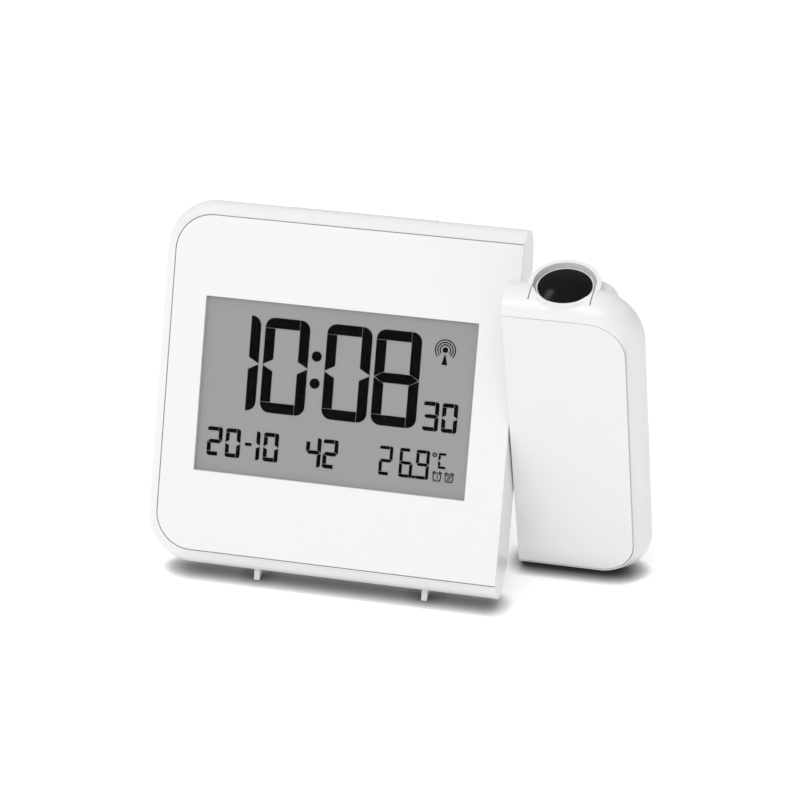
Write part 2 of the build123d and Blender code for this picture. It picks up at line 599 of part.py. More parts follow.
with BuildPart() as arm_front_housing:
    add(arm_shell.part)
    split(bisect_by=front_plane(PARTING), keep=Keep.TOP)
    block((LENS_X - collar_outer, LENS_X + collar_outer), (SLIT_FRONT, PARTING + 1),
          (tongue_low, 2 * COLLAR_TOP), mode=Mode.SUBTRACT)
    add(tongue.part)
    with BuildSketch(front_plane(PLATE_THICK)):
        plate_outline(0.0, arm_plate_right, arm_plate_top, plate_low, PLATE_RADIUS, GROOVE)
    extrude(amount=2 * PLATE_THICK, mode=Mode.SUBTRACT)
    for x, z in arm_screw_points:
        post(2.9, x, z, (FRONT_WALL - 0.5, post_back))
        post(SCREW_RADIUS + RUN, x, z, (4.5, post_back + 1), mode=Mode.SUBTRACT)
    # ribs that hold the ballast bars
    for z in BALLAST_LOWS:
        for rib in (z - 1.4, z + BALLAST_LENGTH + FLOAT):
            block((BALLAST_LEFT + 1, BALLAST_RIGHT - 1), (FRONT_WALL - 0.3, 8.0), (rib, rib + 1.3))
        block((BALLAST_LEFT + 1, BALLAST_RIGHT - 1), (FRONT_WALL - 0.3, BALLAST_FRONT - FLOAT),
              (z + 4, z + BALLAST_LENGTH - 4))
arm_front_housing.part.label = "arm_front_housing"

with BuildPart() as collar_arms:
    add(arm_shell.part)
    block((LENS_X - collar_outer, LENS_X + collar_outer), (SLIT_FRONT, PARTING),
          (tongue_low, 2 * COLLAR_TOP), mode=Mode.INTERSECT)

with BuildPart() as arm_rear_housing:
    add(arm_shell.part)
    split(bisect_by=front_plane(PARTING), keep=Keep.BOTTOM)
    add(collar_arms.part)
    block((LENS_X - collar_inner, LENS_X + collar_inner), (-1, lens_depth),
          (tongue_low - SLIT, 2 * COLLAR_TOP), mode=Mode.SUBTRACT)
    # battery bay: ears for the door's pins, opening with a ledge for the door, and end walls
    for x in (DOOR_LEFT - 1.2, DOOR_RIGHT - 1.0):
        block((x, x + 2.2), (SLAB_DEPTH - 3.0, SLAB_DEPTH - DOOR_THICK - RUN),
              (DOOR_LOW - 2 * FLOAT, DOOR_LOW + 2.6))
    block((DOOR_LEFT + 1, DOOR_RIGHT - 1), (back_inside - 2, SLAB_DEPTH + 1),
          (DOOR_LOW - 2 * FLOAT, DOOR_HIGH - 1), mode=Mode.SUBTRACT)
    block((DOOR_LEFT - 2 * FLOAT, DOOR_RIGHT + 2 * FLOAT),
          (SLAB_DEPTH - DOOR_THICK - RUN, SLAB_DEPTH + 1),
          (DOOR_LOW - 2 * FLOAT, DOOR_HIGH + 2 * FLOAT), mode=Mode.SUBTRACT)
    across(DOOR_PIN + RUN, door_axis_depth, door_axis_height,
           (DOOR_LEFT - 1.0, DOOR_RIGHT + 1.0), mode=Mode.SUBTRACT)
    block((arm_left + WALL - 0.3, DOOR_RIGHT + 1), (PARTING, back_inside + 0.3),
          (DOOR_HIGH - 1.0, DOOR_HIGH + 0.2))
    block((arm_left + WALL - 0.3, DOOR_RIGHT + 1), (PARTING, back_inside - 1.5),
          (DOOR_LOW - 1.4, DOOR_LOW - 0.2))
    for x, z in arm_screw_points:
        post(2.9 + FLOAT, x, z, (PARTING, post_back + FLOAT), mode=Mode.SUBTRACT)
        post(3.4, x, z, (post_back + FLOAT, back_inside + 0.5))
        post(SCREW_HEAD_RADIUS + 0.3, x, z, (screw_seat, SLAB_DEPTH + 1), mode=Mode.SUBTRACT)
        post(SCREW_RADIUS + 0.2, x, z, (post_back - 1, screw_seat + 1), mode=Mode.SUBTRACT)
arm_rear_housing.part.label = "arm_rear_housing"

with BuildPart() as arm_plate:
    with BuildSketch(front_plane(PLATE_THICK)):
        plate_outline(arm_left, arm_plate_right, arm_plate_top, plate_low, PLATE_RADIUS, 0.0)
    extrude(amount=PLATE_THICK)
    chamfer(arm_plate.faces().sort_by(Axis.Y)[0].outer_wire().edges(), 0.12)
arm_plate.part.label = "arm_plate"

with BuildPart() as arm_screws:
    for x, z in arm_screw_points:
        post(SCREW_RADIUS, x, z, (5.0, screw_seat + 0.1))
        post(SCREW_HEAD_RADIUS, x, z, (screw_seat, screw_seat + SCREW_HEAD))
        with BuildSketch(front_plane(screw_seat + SCREW_HEAD)):
            with Locations((x, z)):
                Rectangle(2.6, 0.6)
                Rectangle(0.6, 2.6)
        extrude(amount=0.7, mode=Mode.SUBTRACT)
arm_screws.part.label = "arm_screws"

with BuildPart() as ballast_bars:
    # steel bars that bring the centre of mass between the fins and the arm's bottom edge
    for z in BALLAST_LOWS:
        block((BALLAST_LEFT, BALLAST_RIGHT), (BALLAST_FRONT, BALLAST_BACK), (z, z + BALLAST_LENGTH))
    chamfer(ballast_bars.edges().filter_by(Axis.Z), 0.8)
ballast_bars.part.label = "ballast_bars"

# ---------------------------------------------------------------- batteries
cells = []
for name, x in zip(("battery_left", "battery_right"), cell_xs):
    with BuildPart() as cell:
        upright(CELL_RADIUS, x, cell_depth, (CELL_LOW, CELL_LOW + CELL_LENGTH - 0.9))
        fillet(cell.edges().filter_by(GeomType.CIRCLE), 0.5)
        upright(1.9, x, cell_depth, (CELL_LOW + 1, CELL_LOW + CELL_LENGTH))
    cell.part.label = name
    cells.append(cell)

with BuildPart() as contact_plates:
    for x in cell_xs:
        block((x - 4.0, x + 4.0), (cell_depth - 4.0, cell_depth + 4.0),
              (CELL_LOW + CELL_LENGTH + 0.1, CELL_LOW + CELL_LENGTH + 0.5))
contact_plates.part.label = "contact_plates"

with BuildPart() as contact_springs:
    for x in cell_xs:
        with BuildSketch(level(DOOR_LOW - 0.2, x, cell_depth)):
            Circle(4.0)
        with BuildSketch(level(CELL_LOW - 0.1, x, cell_depth)):
            Circle(2.4)
        loft()
contact_springs.part.label = "contact_springs"

with BuildPart() as battery_door:
    block((DOOR_LEFT, DOOR_RIGHT), (SLAB_DEPTH - DOOR_THICK, SLAB_DEPTH),
          (door_axis_height, DOOR_HIGH))
    corners = battery_door.edges().filter_by(Axis.Y).sort_by(Axis.Z)[-2:]
    fillet(corners, 1.0)
    # hinge edge with its pins
    across(DOOR_BARREL, door_axis_depth, door_axis_height, (DOOR_LEFT + 1.2, DOOR_RIGHT - 1.2))
    across(DOOR_PIN, door_axis_depth, door_axis_height, (DOOR_LEFT - 0.7, DOOR_RIGHT + 0.7))
    # finger recess
    with BuildSketch(front_plane(SLAB_DEPTH)):
        with Locations(((DOOR_LEFT + DOOR_RIGHT) / 2, DOOR_HIGH - 5.0)):
            SlotOverall(9.0, 3.0)
    extrude(amount=0.4, mode=Mode.SUBTRACT)
battery_door.part.label = "battery_door"

# ---------------------------------------------------------------- projector
LAMP_BOARD_LOW = HUMP_LOW + 14.0
lamp_board_high = LAMP_BOARD_LOW + 1.4
tube_high = ring_low - 0.1
condenser_low = lamp_board_high + 5.2
slide_low = condenser_low + 3.1
barrel_low = slide_low + 2.6

with BuildPart() as lamp_board:
    with BuildSketch(level(LAMP_BOARD_LOW, LENS_X, lens_depth)):
        Circle(tube_outer)
    extrude(amount=lamp_board_high - LAMP_BOARD_LOW)
lamp_board.part.label = "lamp_board"

with BuildPart() as projector_lamp:
    upright(2.9, LENS_X, lens_depth, (lamp_board_high, lamp_board_high + 1.0))
    upright(2.5, LENS_X, lens_depth, (lamp_board_high, lamp_board_high + 4.2))
    fillet(projector_lamp.edges().sort_by(Axis.Z)[-1], 2.3)
projector_lamp.part.label = "projector_lamp"

with BuildPart() as projector_tube:
    upright(tube_outer, LENS_X, lens_depth, (lamp_board_high, tube_high))
    upright(tube_bore, LENS_X, lens_depth, (lamp_board_high - 1, tube_high + 1),
            mode=Mode.SUBTRACT)
projector_tube.part.label = "projector_tube"

with BuildPart() as condenser_lens:
    upright(tube_bore - FLOAT, LENS_X, lens_depth, (condenser_low, condenser_low + 3.0))
condenser_lens.part.label = "condenser_lens"

with BuildPart() as projection_slide:
    slide_half = (tube_bore - FLOAT) * cos(radians(45))
    block((LENS_X - slide_half, LENS_X + slide_half),
          (lens_depth - slide_half, lens_depth + slide_half), (slide_low, slide_low + 1.1))
projection_slide.part.label = "projection_slide"

with BuildPart() as lens_barrel:
    upright(tube_bore - FLOAT, LENS_X, lens_depth, (barrel_low, lens_seat))
    upright(tube_bore - FLOAT - 1.1, LENS_X, lens_depth, (barrel_low - 1, lens_seat + 1),
            mode=Mode.SUBTRACT)
lens_barrel.part.label = "lens_barrel"

dome_rim = COLLAR_TOP - 1.25
dome_rise = 1.5
dome_sphere = (DOME_RADIUS ** 2 + dome_rise ** 2) / (2 * dome_rise)

with BuildPart() as projection_lens:
    with BuildSketch(Plane((LENS_X, lens_depth, 0), x_dir=(1, 0, 0), z_dir=(0, -1, 0))):
        with BuildLine():
            Line((0, lens_seat), (DOME_RADIUS, lens_seat))
            Line((DOME_RADIUS, lens_seat), (DOME_RADIUS, dome_rim))
            RadiusArc((DOME_RADIUS, dome_rim), (0, dome_rim + dome_rise), -dome_sphere)
            Line((0, dome_rim + dome_rise), (0, lens_seat))
        make_face()
    revolve(axis=Axis((LENS_X, lens_depth, 0), (0, 0, 1)))
projection_lens.part.label = "projection_lens"

with BuildPart() as focus_ring:
    upright(collar_inner - 0.15, LENS_X, lens_depth, (ring_low + 0.05, dome_rim - 0.7))
    upright(DOME_RADIUS + 0.6, LENS_X, lens_depth, (ring_low + 0.05, dome_rim))
    upright(DOME_RADIUS + 0.15, LENS_X, lens_depth, (ring_low - 1, dome_rim + 1),
            mode=Mode.SUBTRACT)
    fillet(focus_ring.faces().sort_by(Axis.Z)[-1].edges(), 0.12)
focus_ring.part.label = "focus_ring"

# ================================================================ standing pose
clock_pieces = [front_housing, front_plate, display_window, lcd_glass, contact_strip,
                backlight_panel, backlight_lamp, display_frame, main_board, clock_chip,
                quartz_crystal, antenna_rod, antenna_coil, sounder, temperature_sensor,
                rear_housing, dc_socket, housing_screws, snooze_bar, snooze_switch,
                key_switches, hinge_bush, hinge_washer] + buttons
arm_pieces = [arm_front_housing, arm_rear_housing, arm_plate, arm_screws, ballast_bars, hinge_shaft,
              hinge_clip, arm_lead, contact_plates, contact_springs, battery_door, lamp_board,
              projector_lamp, projector_tube, condenser_lens, projection_slide, lens_barrel,
              projection_lens, focus_ring] + cells

def standing(angle):
    """Turn about the swivel axis, then set down on the ground."""
    about = Location((0, SWIVEL_DEPTH, SWIVEL_HEIGHT))
    return Location((0, 0, -ground - SWIVEL_HEIGHT)) * about * Rotation(angle, 0, 0) * about.inverse()


clock_pose, arm_pose = standing(-lean), standing(SWIVEL_OPEN - lean)
front = front_housing.part.moved(clock_pose).bounding_box().min.Y
back = rear_housing.part.moved(clock_pose).bounding_box().max.Y
centred = Location(((CLOCK_WIDTH - arm_right) / 2, -(front + back) / 2, 0))

os.makedirs("parts", exist_ok=True)
for pieces, pose in ((clock_pieces, clock_pose), (arm_pieces, arm_pose)):
    for piece in pieces:
        placed = piece.part.moved(centred * pose)
        placed.label = piece.part.label
        export_step(placed, f"parts/{piece.part.label}.step")
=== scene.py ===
"""Looks of the projection alarm clock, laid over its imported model.

Both halves of the clock are described closed and upright, in millimetres: x to the right from the
cut between them, depth from the front face to the back, height above the display's reference
line.  on_half() turns such points into the standing pose, in metres.
"""

import json
from math import pi, radians

import bpy
import numpy as np
from mathutils import Matrix


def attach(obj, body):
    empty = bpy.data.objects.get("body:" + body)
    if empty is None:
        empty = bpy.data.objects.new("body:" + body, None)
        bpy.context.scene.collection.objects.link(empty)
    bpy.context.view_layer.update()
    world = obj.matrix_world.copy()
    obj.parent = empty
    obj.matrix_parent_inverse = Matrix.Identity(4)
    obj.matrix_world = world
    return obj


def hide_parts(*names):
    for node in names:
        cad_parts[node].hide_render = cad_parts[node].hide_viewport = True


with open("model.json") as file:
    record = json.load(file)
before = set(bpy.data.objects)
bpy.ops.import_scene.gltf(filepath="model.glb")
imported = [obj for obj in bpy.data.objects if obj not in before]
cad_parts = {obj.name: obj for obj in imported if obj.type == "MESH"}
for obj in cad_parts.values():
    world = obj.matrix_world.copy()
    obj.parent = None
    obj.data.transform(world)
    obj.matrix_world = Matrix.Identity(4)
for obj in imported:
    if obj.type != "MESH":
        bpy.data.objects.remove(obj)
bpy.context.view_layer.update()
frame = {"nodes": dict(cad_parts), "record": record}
nodes = frame["nodes"]
joints = {joint["name"]: joint for joint in frame["record"]["behaviour"]["joints"]}

# ---------------------------------------------------------------- where the two halves stand
PIVOT = np.array(joints["arm_swivel"]["pos_m"])
PIVOT_DEPTH, PIVOT_HEIGHT = 9.2, -2.75
RIGHT = np.array([1.0, 0.0, 0.0])


def half_axes(up):
    """Rows are the directions of x, depth and height of a half whose upward edge points to up."""
    return np.stack([RIGHT, np.cross(up, RIGHT), up])


SLAB = half_axes(-np.array(joints["snooze_press"]["axis"]))
ARM = half_axes(np.array(joints["focus_turn"]["axis"]))


def on_half(half, x, depth, height):
    """Standing point = pivot + x, depth and height from the pivot, along the half's axes."""
    local = np.stack(np.broadcast_arrays(x, depth - PIVOT_DEPTH, height - PIVOT_HEIGHT), -1)
    return PIVOT + local / 1000 @ half


# ---------------------------------------------------------------- meshes
SHARP_EDGE = radians(40)  # a smooth piece keeps its creases above this angle


def make_piece(name, points, faces, material, body, smooth=False):
    """Closed mesh object at the origin, riding on a body and wearing one material."""
    mesh = bpy.data.meshes.new(name)
    mesh.from_pydata(np.asarray(points, float).tolist(), [], faces)
    mesh.materials.append(material)
    if smooth:
        mesh.shade_smooth()
        mesh.set_sharp_from_angle(angle=SHARP_EDGE)
    mesh.update()
    piece = bpy.data.objects.new(name, mesh)
    bpy.context.scene.collection.objects.link(piece)
    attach(piece, body)
    return piece


def prism_faces(count, start):
    """Two caps and a ring of quads between a front outline and the back outline after it."""
    front = list(range(start, start + count))
    back = [i + count for i in front]
    ring = [[front[i], front[i - 1], back[i - 1], back[i]] for i in range(count)]
    return [front, back[::-1], *ring]


def clockwise(outline):
    """The outline, turned so that its signed area (shoelace sum) is negative."""
    x, y = outline[:, 0], outline[:, 1]
    area = np.sum(x * np.roll(y, -1) - np.roll(x, -1) * y)
    return outline[::-1] if area > 0 else outline


def inlay(name, half, outlines, depths, material, body):
    """Thin prisms: each flat outline is carried straight from the first depth to the second."""
    points, faces = [], []
    for outline in outlines:
        outline = clockwise(np.asarray(outline, float))
        for depth in depths:
            points.append(on_half(half, outline[:, 0], depth, outline[:, 1]))
        faces += prism_faces(len(outline), sum(len(p) for p in points[:-2]))
    return make_piece(name, np.concatenate(points), faces, material, body)


def arc(cx, cy, radius, start, end, count):
    """Points of a circle between two angles in degrees."""
    angle = np.radians(np.linspace(start, end, count))
    return np.stack([cx + radius * np.cos(angle), cy + radius * np.sin(angle)], 1)


def disc(cx, cy, radius, count=28):
    """Closed outline of a full circle."""
    return arc(cx, cy, radius, 0, 360 - 360 / count, count)


def bar(cx, cy, width, height):
    """Outline of a rectangle round its centre."""
    return np.array([[cx - width / 2, cy - height / 2], [cx + width / 2, cy - height / 2],
                     [cx + width / 2, cy + height / 2], [cx - width / 2, cy + height / 2]])


FULL_TURN = 359.9  # degrees; a band's ends may not meet


def band(cx, cy, radius, width, start, end, count=28):
    """Outline between two arcs of one centre, radius +- half the width."""
    outer = arc(cx, cy, radius + width / 2, start, end, count)
    inner = arc(cx, cy, radius - width / 2, end, start, count)
    return np.concatenate([outer, inner])


# ---------------------------------------------------------------- shader groups
def new_group(name, inputs, outputs):
    """Empty shader group with named sockets: (name, kind, default) in, (name, kind) out."""
    tree = bpy.data.node_groups.new(name, "ShaderNodeTree")
    for label, kind, default in inputs:
        socket = tree.interface.new_socket(label, in_out="INPUT", socket_type=f"NodeSocket{kind}")
        socket.default_value = default
    for label, kind in outputs:
        tree.interface.new_socket(label, in_out="OUTPUT", socket_type=f"NodeSocket{kind}")
    return tree, tree.nodes.new("NodeGroupInput"), tree.nodes.new("NodeGroupOutput")


def add(tree, kind, values=None, **settings):
    """New node with its settings and plain socket values."""
    node = tree.nodes.new(kind)
    for key, value in settings.items():
        setattr(node, key, value)
    for key, value in (values or {}).items():
        node.inputs[key].default_value = value
    return node


def skin_group():
    """Moulded skin: noise at two scales gives roughness between two limits and a fine height."""
    tree, given, out = new_group(
        "moulded_skin",
        [("Scale", "Float", 300.0), ("Smooth", "Float", 0.2), ("Dull", "Float", 0.3)],
        [("Roughness", "Float"), ("Height", "Float")])
    place = add(tree, "ShaderNodeTexCoord")
    broad = add(tree, "ShaderNodeTexNoise", {"Detail": 3.0, "Roughness": 0.55})
    fine = add(tree, "ShaderNodeTexNoise", {"Detail": 2.0})
    slower = add(tree, "ShaderNodeMath", {1: 0.12}, operation="MULTIPLY")
    limits = add(tree, "ShaderNodeMapRange", {"From Min": 0.3, "From Max": 0.7})
    link = tree.links.new
    link(given.outputs["Scale"], slower.inputs[0])
    link(slower.outputs[0], broad.inputs["Scale"])
    link(given.outputs["Scale"], fine.inputs["Scale"])
    for noise in (broad, fine):
        link(place.outputs["Object"], noise.inputs["Vector"])
    link(broad.outputs[0], limits.inputs["Value"])
    link(given.outputs["Smooth"], limits.inputs["To Min"])
    link(given.outputs["Dull"], limits.inputs["To Max"])
    link(limits.outputs[0], out.inputs["Roughness"])
    link(fine.outputs[0], out.inputs["Height"])
    return tree


def tone_group():
    """Tone drift: slow noise mixes a colour towards a second one, at most by Amount."""
    tree, given, out = new_group(
        "tone_drift",
        [("Colour", "Color", (1, 1, 1, 1)), ("Second", "Color", (1, 1, 1, 1)),
         ("Scale", "Float", 20.0), ("Amount", "Float", 0.5)],
        [("Colour", "Color")])
    place = add(tree, "ShaderNodeTexCoord")
    noise = add(tree, "ShaderNodeTexNoise", {"Detail": 4.0, "Roughness": 0.6})
    limits = add(tree, "ShaderNodeMapRange", {"From Min": 0.35, "From Max": 0.65, "To Min": 0.0})
    mix = add(tree, "ShaderNodeMix", data_type="RGBA")
    link = tree.links.new
    link(place.outputs["Object"], noise.inputs["Vector"])
    link(given.outputs["Scale"], noise.inputs["Scale"])
    link(noise.outputs[0], limits.inputs["Value"])
    link(given.outputs["Amount"], limits.inputs["To Max"])
    link(limits.outputs[0], mix.inputs["Factor"])
    link(given.outputs["Colour"], mix.inputs[6])
    link(given.outputs["Second"], mix.inputs[7])
    link(mix.outputs[2], out.inputs["Colour"])
    return tree


def line_group():
    """Fine parallel lines across one direction: a wave's height and a mask of its valleys."""
    tree, given, out = new_group(
        "fine_lines",
        [("Scale", "Float", 900.0), ("Wobble", "Float", 0.5), ("Turn", "Vector", (0, 0, 0))],
        [("Height", "Float"), ("Valley", "Float")])
    place = add(tree, "ShaderNodeTexCoord")
    turn = add(tree, "ShaderNodeMapping")
    wave = add(tree, "ShaderNodeTexWave", {"Detail": 1.0}, wave_type="BANDS",
               bands_direction="X")
    limits = add(tree, "ShaderNodeMapRange", {"From Min": 0.35, "From Max": 0.05})
    link = tree.links.new
    link(place.outputs["Object"], turn.inputs["Vector"])
    link(given.outputs["Turn"], turn.inputs["Rotation"])
    link(turn.outputs[0], wave.inputs["Vector"])
    link(given.outputs["Scale"], wave.inputs["Scale"])
    link(given.outputs["Wobble"], wave.inputs["Distortion"])
    link(wave.outputs["Fac"], limits.inputs["Value"])
    link(wave.outputs["Fac"], out.inputs["Height"])
    link(limits.outputs[0], out.inputs["Valley"])
    return tree


SKIN, TONE, LINES = skin_group(), tone_group(), line_group()


def place_group(tree, group, values):
    """One use of a shader group with its own values."""
    node = tree.nodes.new("ShaderNodeGroup")
    node.node_tree = group
    for key, value in values.items():
        node.inputs[key].default_value = value
    return node


def finish(name, colour, second, smooth, dull, grain=300.0, depth=0.00002, patch=20.0,
           amount=0.6, lines=None, **sockets):
    """Material: drifting tone, moulded skin or fine lines, and plain values on the shader."""
    material = bpy.data.materials.new(name)
    material.use_nodes = True
    tree = material.node_tree
    shader = tree.nodes["Principled BSDF"]
    for key, value in sockets.items():
        shader.inputs[key.replace("_", " ")].default_value = value
    tone = place_group(tree, TONE, {"Colour": (*colour, 1), "Second": (*second, 1),
                                    "Scale": patch, "Amount": amount})
    skin = place_group(tree, SKIN, {"Scale": grain, "Smooth": smooth, "Dull": dull})
    bump = add(tree, "ShaderNodeBump", {"Strength": 1.0, "Distance": depth})
    link = tree.links.new
    link(skin.outputs["Roughness"], shader.inputs["Roughness"])
    link(bump.outputs[0], shader.inputs["Normal"])
    if lines is None:
        link(tone.outputs[0], shader.inputs["Base Color"])
        link(skin.outputs["Height"], bump.inputs["Height"])
        return material
    scale, wobble, turn, dark = lines
    # the valleys take the dark colour: real dark stripes on the contact strip, painted shade
    # between the turns of the copper coil
    ribs = place_group(tree, LINES, {"Scale": scale, "Wobble": wobble, "Turn": turn})
    stripes_and_painted_shade = add(tree, "ShaderNodeMix", {7: (*dark, 1)}, data_type="RGBA")
    link(ribs.outputs["Valley"], stripes_and_painted_shade.inputs["Factor"])
    link(tone.outputs[0], stripes_and_painted_shade.inputs[6])
    link(stripes_and_painted_shade.outputs[2], shader.inputs["Base Color"])
    link(ribs.outputs["Height"], bump.inputs["Height"])
    return material


# ---------------------------------------------------------------- finishes
shell_white = finish("shell_white", (0.735, 0.74, 0.745), (0.73, 0.735, 0.74), 0.285, 0.30,
                     grain=2600.0, depth=0.000001, patch=14.0,
                     Coat_Weight=0.1, Coat_Roughness=0.15)
plate_white = finish("plate_white", (0.745, 0.745, 0.745), (0.735, 0.735, 0.736), 0.32, 0.38,
                     grain=5200.0, depth=0.000002, patch=9.0)
button_white = finish("button_white", (0.80, 0.81, 0.82), (0.77, 0.78, 0.79), 0.30, 0.40,
                      grain=2600.0, depth=0.000005, patch=60.0)
lcd_ground = finish("lcd_ground", (0.300, 0.304, 0.301), (0.294, 0.298, 0.295), 0.35, 0.42,
                    grain=7000.0, depth=0.000002, patch=30.0)
lcd_ink = finish("lcd_ink", (0.0015, 0.002, 0.002), (0.003, 0.0035, 0.0035), 0.45, 0.55,
                 grain=3000.0, depth=0.0, patch=200.0, Specular_IOR_Level=0.0)
window_clear = finish("window_clear", (0.02, 0.02, 0.02), (0.03, 0.03, 0.03), 0.10, 0.14,
                      grain=900.0, depth=0.0, Alpha=0.03)
lens_black = finish("lens_black", (0.006, 0.006, 0.007), (0.009, 0.009, 0.010), 0.16, 0.22,
                    grain=700.0, depth=0.0, patch=80.0, Specular_IOR_Level=0.0,
                    Coat_Weight=0.3, Coat_Roughness=0.15, Coat_IOR=1.25)
ring_grey = finish("ring_grey", (0.60, 0.605, 0.61), (0.56, 0.565, 0.57), 0.28, 0.36,
                   grain=2600.0, depth=0.000005, patch=90.0)
frame_grey = finish("frame_grey", (0.30, 0.31, 0.32), (0.26, 0.27, 0.28), 0.45, 0.6,
                    grain=1500.0, depth=0.00001)
board_green = finish("board_green", (0.015, 0.11, 0.035), (0.02, 0.16, 0.05), 0.3, 0.45,
                     grain=900.0, depth=0.00002, patch=260.0, Coat_Weight=0.3)
chip_black = finish("chip_black", (0.016, 0.016, 0.018), (0.026, 0.026, 0.028), 0.45, 0.62,
                    grain=2400.0, depth=0.00001, patch=160.0)
lead_grey = finish("lead_grey", (0.10, 0.10, 0.105), (0.07, 0.07, 0.075), 0.5, 0.65,
                   grain=1500.0, depth=0.00001, patch=200.0)
diffuser = finish("diffuser", (0.80, 0.81, 0.78), (0.74, 0.75, 0.72), 0.5, 0.6,
                  grain=1800.0, depth=0.000006)
contact_pink = finish("contact_pink", (0.45, 0.17, 0.17), (0.40, 0.14, 0.14), 0.6, 0.75,
                      lines=(1300.0, 0.0, (0.0, 0.0, 0.0), (0.06, 0.03, 0.03)), depth=0.00001)
can_steel = finish("can_steel", (0.60, 0.61, 0.62), (0.52, 0.53, 0.54), 0.25, 0.38,
                   grain=1600.0, depth=0.000006, patch=120.0, Metallic=1.0)
screw_steel = finish("screw_steel", (0.42, 0.43, 0.44), (0.30, 0.31, 0.32), 0.28, 0.45,
                     grain=1900.0, depth=0.00001, patch=300.0, Metallic=1.0)
contact_nickel = finish("contact_nickel", (0.62, 0.61, 0.58), (0.50, 0.49, 0.46), 0.18, 0.32,
                        grain=1500.0, depth=0.000005, patch=240.0, Metallic=1.0)
ferrite = finish("ferrite", (0.022, 0.020, 0.020), (0.035, 0.033, 0.033), 0.5, 0.7,
                 grain=1300.0, depth=0.00002, patch=220.0)
# the dark line valleys are painted shade between the coil's turns
coil_copper = finish("coil_copper", (0.52, 0.17, 0.055), (0.40, 0.12, 0.04), 0.25, 0.4,
                     lines=(1500.0, 0.4, (0.0, 0.0, 0.0), (0.10, 0.03, 0.01)), depth=0.00004,
                     Metallic=1.0)
sounder_brass = finish("sounder_brass", (0.62, 0.42, 0.14), (0.50, 0.33, 0.11), 0.25, 0.42,
                       grain=1100.0, depth=0.000006, patch=140.0, Metallic=1.0)
bush_nylon = finish("bush_nylon", (0.68, 0.66, 0.58), (0.62, 0.60, 0.52), 0.4, 0.55,
                    grain=1600.0, depth=0.00001, patch=120.0)
cell_sleeve = finish("cell_sleeve", (0.012, 0.016, 0.028), (0.02, 0.025, 0.04), 0.16, 0.26,
                     grain=900.0, depth=0.000004, patch=100.0, Coat_Weight=0.4)
cell_steel = finish("cell_steel", (0.58, 0.58, 0.57), (0.48, 0.48, 0.47), 0.22, 0.36,
                    grain=1500.0, depth=0.000005, patch=240.0, Metallic=1.0)
cell_band = finish("cell_band", (0.34, 0.35, 0.36), (0.30, 0.31, 0.32), 0.3, 0.4,
                   grain=900.0, depth=0.000002, patch=100.0, Metallic=0.8)
lens_clear = finish("lens_clear", (0.92, 0.94, 0.95), (0.90, 0.92, 0.93), 0.02, 0.05,
                    grain=700.0, depth=0.000001, Alpha=0.25)
lamp_clear = finish("lamp_clear", (0.86, 0.85, 0.72), (0.80, 0.79, 0.66), 0.08, 0.14,
                    grain=700.0, depth=0.000002, Alpha=0.7)
slide_dark = finish("slide_dark", (0.03, 0.035, 0.04), (0.045, 0.05, 0.055), 0.1, 0.2,
                    grain=900.0, depth=0.000002, patch=200.0)
print_grey = finish("print_grey", (0.20, 0.205, 0.21), (0.23, 0.235, 0.24), 0.45, 0.6,
                    grain=2400.0, depth=0.000002, patch=300.0)

WORN_BY = {
    shell_white: ("front_housing", "rear_housing", "arm_front_housing", "arm_rear_housing",
                  "snooze_bar", "battery_door"),
    plate_white: ("front_plate", "arm_plate"),
    button_white: ("alarm_button", "set_button", "plus_button", "minus_button",
                   "signal_button", "projection_button"),
    lcd_ground: ("lcd_glass",),
    window_clear: ("display_window",),
    lens_black: ("projection_lens",),
    ring_grey: ("focus_ring",),
    frame_grey: ("display_frame",),
    board_green: ("main_board", "lamp_board"),
    chip_black: ("clock_chip", "temperature_sensor", "snooze_switch", "key_switches",
                 "dc_socket", "projector_tube", "lens_barrel"),
    lead_grey: ("arm_lead",),
    diffuser: ("backlight_panel",),
    contact_pink: ("contact_strip",),
    can_steel: ("quartz_crystal",),
    screw_steel: ("housing_screws", "arm_screws", "hinge_clip", "hinge_washer",
                  "ballast_bars"),
    contact_nickel: ("contact_plates", "contact_springs"),
    ferrite: ("antenna_rod",),
    coil_copper: ("antenna_coil",),
    sounder_brass: ("sounder",),
    bush_nylon: ("hinge_bush", "hinge_shaft"),
    cell_sleeve: ("battery_left", "battery_right"),
    lens_clear: ("condenser_lens",),
    lamp_clear: ("backlight_lamp", "projector_lamp"),
    slide_dark: ("projection_slide",),
}
for material, wearers in WORN_BY.items():
    for node in wearers:
        for slot in nodes[node].material_slots:
            slot.material = material

# ---------------------------------------------------------------- display
# seven-segment figures: segments in use for each digit, lettered clockwise from the top, g inside
DIGITS = {"0": "abcdef", "1": "bc", "2": "abdeg", "3": "abcdg", "4": "bcfg", "5": "acdfg",
          "6": "acdefg", "7": "abc", "8": "abcdefg", "9": "abcdfg", "C": "adef"}
# shares of the stroke: an upright's slanted tip, the middle bar's half height and its points
TIP, HALF_BAR, POINT = 0.55, 0.48, 0.85
CORNER_POINTS = 7


